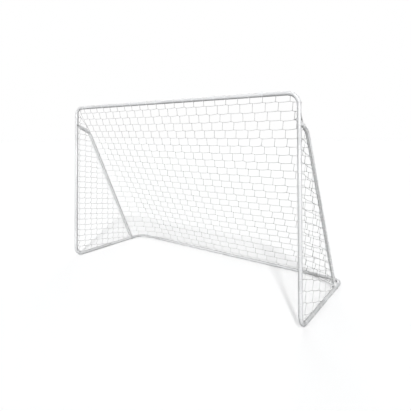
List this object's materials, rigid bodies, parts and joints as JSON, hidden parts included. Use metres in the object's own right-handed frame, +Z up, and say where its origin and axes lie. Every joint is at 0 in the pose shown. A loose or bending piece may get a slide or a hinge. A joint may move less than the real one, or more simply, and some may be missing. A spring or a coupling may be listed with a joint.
{
  "type": "soccer goal",
  "caption": "Free-standing garden soccer goal: bolted round-tube steel frame with rounded corners, two bent rear stays and a net over back and sides.",
  "frame": {"origin": "on the ground, under the middle of the goal's width and depth", "axes": "+X along the crossbar, -Y out of the goal's mouth, +Z up"},
  "size_m": [2.4086, 0.9, 1.5],
  "materials": {
    "frame_paint": "semi-gloss white powder coat",
    "stay_paint": "semi-gloss white powder coat",
    "zinc_plate": "bright zinc plate",
    "net_twine": "matt white braided twine"
  },
  "bodies": {
    "root": {"crossbar_left": "frame_paint", "top_corner_left": "frame_paint", "post_left": "frame_paint", "foot_tube_left": "frame_paint", "back_corner_left": "frame_paint", "back_bar_left": "frame_paint", "stay_left": "stay_paint", "stay_bolt_top_left": "zinc_plate", "stay_washer_top_left": "zinc_plate", "stay_nut_top_left": "zinc_plate", "stay_bolt_foot_left": "zinc_plate", "stay_washer_foot_left": "zinc_plate", "stay_nut_foot_left": "zinc_plate", "screw_crossbar_left": "zinc_plate", "screw_post_top_left": "zinc_plate", "screw_post_foot_left": "zinc_plate", "screw_ground_side_left": "zinc_plate", "screw_back_bar_left": "zinc_plate", "net_side_left": "net_twine", "net_side_top_left": "net_twine", "crossbar_right": "frame_paint", "top_corner_right": "frame_paint", "post_right": "frame_paint", "foot_tube_right": "frame_paint", "back_corner_right": "frame_paint", "back_bar_right": "frame_paint", "stay_right": "stay_paint", "stay_bolt_top_right": "zinc_plate", "stay_washer_top_right": "zinc_plate", "stay_nut_top_right": "zinc_plate", "stay_bolt_foot_right": "zinc_plate", "stay_washer_foot_right": "zinc_plate", "stay_nut_foot_right": "zinc_plate", "screw_crossbar_right": "zinc_plate", "screw_post_top_right": "zinc_plate", "screw_post_foot_right": "zinc_plate", "screw_ground_side_right": "zinc_plate", "screw_back_bar_right": "zinc_plate", "net_side_right": "net_twine", "net_side_top_right": "net_twine", "screw_crossbar_middle": "zinc_plate", "screw_back_bar_middle": "zinc_plate", "net_back": "net_twine", "net_back_end_left": "net_twine", "net_back_end_right": "net_twine"}
  },
  "joints": []
}
